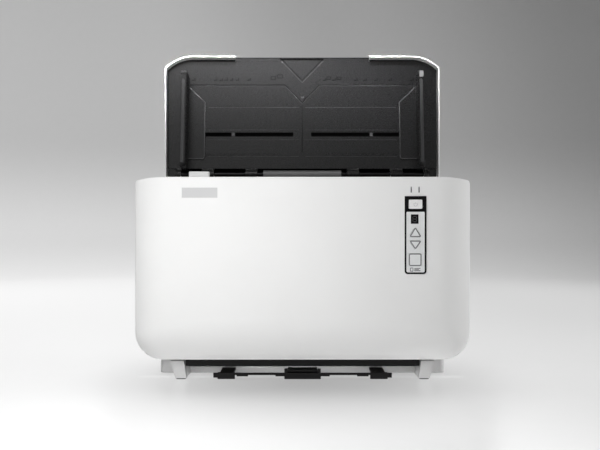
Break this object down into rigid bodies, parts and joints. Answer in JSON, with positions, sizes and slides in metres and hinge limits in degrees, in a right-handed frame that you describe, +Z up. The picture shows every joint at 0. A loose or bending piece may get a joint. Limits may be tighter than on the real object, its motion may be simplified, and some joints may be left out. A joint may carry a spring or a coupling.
{
  "type": "sheet-fed document scanner",
  "caption": "Wide sheet-fed document scanner with a swing-down front cover, a folding input tray with sliding paper guides, and a pull-out output stop.",
  "frame": {"origin": "on the table, under the centre of the body's footprint", "axes": "+X to the viewer's right, +Y from the front cover to the back, +Z up"},
  "size_m": [0.386, 0.2168, 0.4103],
  "materials": {
    "white_shell": "fine satin texture",
    "body_grey": "fine satin texture",
    "tray_black": "fine matt texture",
    "panel_black": "polished",
    "panel_light": "smooth",
    "plate_grey": "satin film",
    "lens_clear": "frosted",
    "sensor_glass": "clear",
    "roller_rubber": "ground",
    "foot_rubber": "matt",
    "steel": "bright",
    "pulley_plastic": "smooth",
    "motor_metal": "satin",
    "board_green": "solder mask",
    "socket_black": "smooth"
  },
  "bodies": {
    "base": {"base_housing": "body_grey", "left_side_cover": "body_grey", "right_side_cover": "body_grey", "rear_cover": "body_grey", "rear_screws": "steel", "rubber_feet": "foot_rubber", "exit_guard_bar": "tray_black", "chassis_frame": "steel", "rear_guide_plate": "tray_black", "throat_chute": "tray_black", "rear_sensor_module": "tray_black", "rear_sensor_glass": "sensor_glass", "drive_motor": "motor_metal", "drive_belt": "foot_rubber", "main_board": "board_green", "power_inlet": "socket_black", "data_port": "socket_black", "hinge_barrel": "body_grey", "tray_hinge_rod": "steel", "cover_hinge_pins": "steel"},
    "front_cover": {"front_shell": "white_shell", "name_plate": "plate_grey", "indicator_lenses": "lens_clear", "panel_bezel": "panel_black", "panel_plate": "panel_light", "display_window": "panel_black", "control_board": "board_green", "front_inner_frame": "tray_black", "front_guide_plate": "tray_black", "front_sensor_module": "tray_black", "front_sensor_glass": "sensor_glass", "pinch_brackets": "tray_black", "separation_holder": "tray_black"},
    "power_button": {"power_button": "white_shell"},
    "up_button": {"up_button": "panel_light"},
    "down_button": {"down_button": "panel_light"},
    "scan_button": {"scan_button": "panel_light"},
    "release_button": {"release_button": "white_shell"},
    "cover_latch": {"cover_latch": "tray_black"},
    "separation_roller": {"separation_roller": "roller_rubber"},
    "exit_pinch_roller": {"exit_pinch_roller": "pulley_plastic"},
    "transport_pinch_roller": {"transport_pinch_roller": "pulley_plastic"},
    "exit_roller": {"exit_roller_shaft": "steel", "exit_roller_tyres": "roller_rubber", "exit_roller_pulley": "pulley_plastic"},
    "transport_roller": {"transport_roller_shaft": "steel", "transport_roller_tyres": "roller_rubber", "transport_roller_pulley": "pulley_plastic"},
    "feed_roller": {"feed_roller_shaft": "steel", "feed_roller_tyres": "roller_rubber", "feed_roller_pulley": "pulley_plastic"},
    "motor_pulley": {"motor_pulley": "pulley_plastic"},
    "input_tray": {"tray_back_cover": "white_shell", "tray_panel": "tray_black"},
    "tray_extension": {"tray_extension": "tray_black"},
    "left_guide": {"left_guide": "tray_black"},
    "right_guide": {"right_guide": "tray_black"},
    "guide_pinion": {"guide_pinion": "tray_black"},
    "output_tray": {"output_tray": "tray_black"},
    "paper_stop": {"paper_stop": "tray_black"}
  },
  "joints": [
    {"name": "cover_hinge", "type": "hinge", "parent": "base", "child": "front_cover", "pos_m": [0, -0.076, 0.036], "axis": [1, 0, 0], "range_deg": [0, 60]},
    {"name": "tray_hinge", "type": "hinge", "parent": "base", "child": "input_tray", "pos_m": [0, 0.0715, 0.25], "axis": [-1, 0, 0], "range_deg": [-98, 0]},
    {"name": "extension_slide", "type": "slide", "parent": "input_tray", "child": "tray_extension", "axis": [0, 0.1392, 0.9903], "range_m": [0, 0.09]},
    {"name": "left_guide_slide", "type": "slide", "parent": "input_tray", "child": "left_guide", "axis": [1, 0, 0], "range_m": [0, 0.095]},
    {"name": "right_guide_slide", "type": "slide", "parent": "input_tray", "child": "right_guide", "axis": [-1, 0, 0], "range_m": [0, 0.095]},
    {"name": "guide_pinion_spin", "type": "hinge", "parent": "input_tray", "child": "guide_pinion", "pos_m": [0, 0.07552, 0.27498], "axis": [0, 0.9903, -0.1392], "range_deg": [0, 606]},
    {"name": "output_slide", "type": "slide", "parent": "base", "child": "output_tray", "axis": [0, -1, 0], "range_m": [0, 0.11]},
    {"name": "stop_hinge", "type": "hinge", "parent": "output_tray", "child": "paper_stop", "pos_m": [0, -0.065, 0.0096], "axis": [1, 0, 0], "range_deg": [0, 90]},
    {"name": "release_press", "type": "slide", "parent": "front_cover", "child": "release_button", "axis": [0, 0, -1], "range_m": [0, 0.003], "stiffness_N_per_m": 500, "springref_m": -0.001},
    {"name": "latch_turn", "type": "hinge", "parent": "front_cover", "child": "cover_latch", "pos_m": [0, -0.082, 0.214], "axis": [1, 0, 0], "range_deg": [0, 10]},
    {"name": "power_button_press", "type": "slide", "parent": "front_cover", "child": "power_button", "axis": [0, 1, 0], "range_m": [0, 0.0006], "stiffness_N_per_m": 1200, "springref_m": -0.0003},
    {"name": "up_button_press", "type": "slide", "parent": "front_cover", "child": "up_button", "axis": [0, 1, 0], "range_m": [0, 0.0006], "stiffness_N_per_m": 1200, "springref_m": -0.0003},
    {"name": "down_button_press", "type": "slide", "parent": "front_cover", "child": "down_button", "axis": [0, 1, 0], "range_m": [0, 0.0006], "stiffness_N_per_m": 1200, "springref_m": -0.0003},
    {"name": "scan_button_press", "type": "slide", "parent": "front_cover", "child": "scan_button", "axis": [0, 1, 0], "range_m": [0, 0.0006], "stiffness_N_per_m": 1200, "springref_m": -0.0003},
    {"name": "feed_roller_spin", "type": "hinge", "parent": "base", "child": "feed_roller", "pos_m": [0, 0.05397, 0.16658], "axis": [1, 0, 0], "continuous": true},
    {"name": "transport_roller_spin", "type": "hinge", "parent": "base", "child": "transport_roller", "pos_m": [0, 0.03352, 0.14147], "axis": [1, 0, 0], "continuous": true},
    {"name": "exit_roller_spin", "type": "hinge", "parent": "base", "child": "exit_roller", "pos_m": [0, -0.01993, 0.04993], "axis": [1, 0, 0], "continuous": true},
    {"name": "motor_spin", "type": "hinge", "parent": "base", "child": "motor_pulley", "pos_m": [0, 0.042, 0.095], "axis": [1, 0, 0], "continuous": true},
    {"name": "separation_roller_spin", "type": "hinge", "parent": "front_cover", "child": "separation_roller", "pos_m": [0, 0.03126, 0.17984], "axis": [1, 0, 0], "continuous": true},
    {"name": "transport_pinch_spin", "type": "hinge", "parent": "front_cover", "child": "transport_pinch_roller", "pos_m": [0, 0.01944, 0.14969], "axis": [1, 0, 0], "continuous": true},
    {"name": "exit_pinch_spin", "type": "hinge", "parent": "front_cover", "child": "exit_pinch_roller", "pos_m": [0, -0.03401, 0.05815], "axis": [1, 0, 0], "continuous": true}
  ],
  "couplings": [
    {"joint": "right_guide_slide", "follows": "left_guide_slide", "ratio": 1},
    {"joint": "guide_pinion_spin", "follows": "left_guide_slide", "rad_per_m": 111.11},
    {"joint": "latch_turn", "follows": "release_press", "rad_per_m": 55.556},
    {"joint": "stop_hinge", "follows": "output_slide", "rad_per_m": 14.2},
    {"joint": "transport_roller_spin", "follows": "feed_roller_spin", "ratio": 1.625},
    {"joint": "exit_roller_spin", "follows": "feed_roller_spin", "ratio": 1.625},
    {"joint": "motor_spin", "follows": "feed_roller_spin", "ratio": 1.8571},
    {"joint": "separation_roller_spin", "follows": "feed_roller_spin", "ratio": -1.1667},
    {"joint": "transport_pinch_spin", "follows": "feed_roller_spin", "ratio": -2.0893},
    {"joint": "exit_pinch_spin", "follows": "feed_roller_spin", "ratio": -2.0893}
  ]
}
